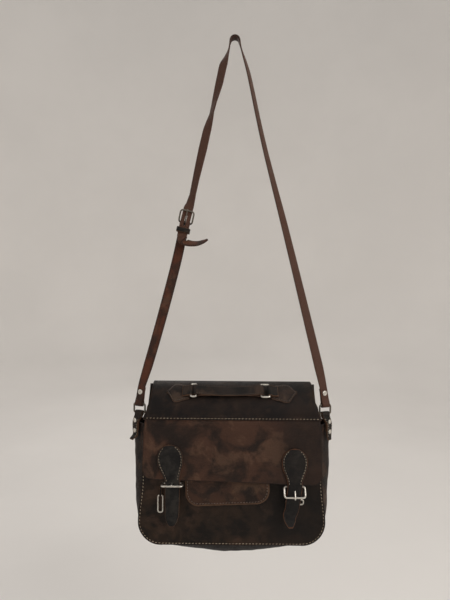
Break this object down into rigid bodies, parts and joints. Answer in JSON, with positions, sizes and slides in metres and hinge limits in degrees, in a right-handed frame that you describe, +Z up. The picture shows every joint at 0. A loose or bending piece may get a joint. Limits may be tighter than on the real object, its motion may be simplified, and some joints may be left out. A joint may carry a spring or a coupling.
{
  "type": "satchel bag",
  "caption": "Leather satchel hanging by its buckled shoulder strap, with a front flap, two pointed billets with small buckles, a patch pocket and a top handle.",
  "frame": {"origin": "the point under the top of the shoulder strap where it rests on its hook", "axes": "+Z up along the hanging bag, +X to the right seen from the front, +Y towards the wall; the front of the bag faces -Y"},
  "size_m": [0.3695, 0.0893, 0.966],
  "materials": {
    "dark_leather": "very dark brown pull-up leather, rubbed and mottled",
    "pocket_leather": "brown leather with lighter worn edges",
    "strap_leather": "reddish brown strap leather with dark edges",
    "black_leather": "black-brown leather",
    "bare_metal": "worn nickel-coloured wire",
    "dark_metal": "dark antique metal"
  },
  "bodies": {
    "strap": {"long_strap": "strap_leather", "short_strap": "strap_leather", "adjuster_frame": "dark_metal", "left_strap_rivet": "bare_metal", "right_strap_rivet": "bare_metal"},
    "adjuster_prong": {"adjuster_prong": "dark_metal"},
    "strap_keeper": {"strap_keeper": "dark_leather"},
    "side_rings": {"left_side_ring": "dark_metal", "right_side_ring": "dark_metal"},
    "bag": {"front_panel": "dark_leather", "back_panel": "dark_leather", "gusset": "dark_leather", "left_side_tab": "dark_leather", "right_side_tab": "dark_leather", "left_tab_rivet_upper": "bare_metal", "left_tab_rivet_lower": "bare_metal", "right_tab_rivet_upper": "bare_metal", "right_tab_rivet_lower": "bare_metal", "pocket_panel": "pocket_leather", "pocket_gusset": "pocket_leather", "left_chape": "dark_leather", "right_chape": "dark_leather", "left_keeper_tab": "dark_leather", "right_keeper_tab": "dark_leather"},
    "flap": {"flap": "dark_leather", "left_billet": "black_leather", "right_billet": "black_leather"},
    "yoke": {"yoke": "dark_leather", "left_handle_patch": "dark_leather", "right_handle_patch": "dark_leather", "left_handle_loop": "dark_leather", "right_handle_loop": "dark_leather"},
    "handle": {"handle_strap": "black_leather"},
    "left_handle_ring": {"left_handle_ring": "bare_metal"},
    "right_handle_ring": {"right_handle_ring": "bare_metal"},
    "left_buckle": {"left_buckle_frame": "bare_metal"},
    "left_prong": {"left_buckle_prong": "bare_metal"},
    "right_buckle": {"right_buckle_frame": "bare_metal"},
    "right_prong": {"right_buckle_prong": "bare_metal"},
    "left_keeper": {"left_keeper_ring": "bare_metal"},
    "right_keeper": {"right_keeper_ring": "bare_metal"}
  },
  "joints": [
    {"name": "adjuster_prong_turn", "type": "hinge", "parent": "strap", "child": "adjuster_prong", "pos_m": [-0.09059, -0.015, -0.35521], "axis": [0.9744, 0, -0.225], "range_deg": [0, 80]},
    {"name": "keeper_slide", "type": "slide", "parent": "strap", "child": "strap_keeper", "axis": [0.225, 0, 0.9744], "range_m": [-0.002, 0.002]},
    {"name": "ring_swing", "type": "hinge", "parent": "strap", "child": "side_rings", "pos_m": [0, -0.03, -0.68845], "axis": [1, 0, 0], "range_deg": [-8, 8]},
    {"name": "bag_tilt", "type": "hinge", "parent": "side_rings", "child": "bag", "pos_m": [0, -0.03, -0.70495], "axis": [1, 0, 0], "range_deg": [-8, 8]},
    {"name": "yoke_lift", "type": "hinge", "parent": "bag", "child": "yoke", "pos_m": [0, 0.008, -0.65425], "axis": [-1, 0, 0], "range_deg": [0, 45]},
    {"name": "flap_open", "type": "hinge", "parent": "yoke", "child": "flap", "pos_m": [0, -0.05, -0.71315], "axis": [-1, 0, 0], "range_deg": [0, 110], "deforming": ["left_billet", "right_billet"]},
    {"name": "handle_lift", "type": "slide", "parent": "yoke", "child": "handle", "axis": [0, -0.6561, 0.7547], "range_m": [0, 0.004]},
    {"name": "left_handle_ring_turn", "type": "hinge", "parent": "yoke", "child": "left_handle_ring", "pos_m": [-0.0755, -0.03488, -0.6627], "axis": [0, -0.7547, -0.6561], "range_deg": [0, 24.92]},
    {"name": "right_handle_ring_turn", "type": "hinge", "parent": "yoke", "child": "right_handle_ring", "pos_m": [0.067, -0.03488, -0.6627], "axis": [0, 0.7547, 0.6561], "range_deg": [0, 15.48]},
    {"name": "left_buckle_turn", "type": "hinge", "parent": "bag", "child": "left_buckle", "pos_m": [-0.105, -0.0558, -0.8235], "axis": [-1, 0, 0], "range_deg": [-65, 18]},
    {"name": "left_prong_turn", "type": "hinge", "parent": "left_buckle", "child": "left_prong", "pos_m": [-0.105, -0.0558, -0.8235], "axis": [-1, 0, 0], "range_deg": [0, 18]},
    {"name": "right_buckle_turn", "type": "hinge", "parent": "bag", "child": "right_buckle", "pos_m": [0.111, -0.0558, -0.828], "axis": [-1, 0, 0], "range_deg": [0, 65]},
    {"name": "right_prong_turn", "type": "hinge", "parent": "right_buckle", "child": "right_prong", "pos_m": [0.111, -0.0558, -0.828], "axis": [-1, 0, 0], "range_deg": [0, 50]},
    {"name": "left_keeper_turn", "type": "hinge", "parent": "bag", "child": "left_keeper", "pos_m": [-0.128, -0.0484, -0.8482], "axis": [-1, 0, 0], "range_deg": [0, 80]},
    {"name": "right_keeper_turn", "type": "hinge", "parent": "bag", "child": "right_keeper", "pos_m": [0.113, -0.0484, -0.8547], "axis": [-1, 0, 0], "range_deg": [0, 45]}
  ],
  "couplings": [
    {"joint": "left_handle_ring_turn", "follows": "handle_lift", "rad_per_m": 108.65},
    {"joint": "right_handle_ring_turn", "follows": "handle_lift", "rad_per_m": 67.483}
  ]
}
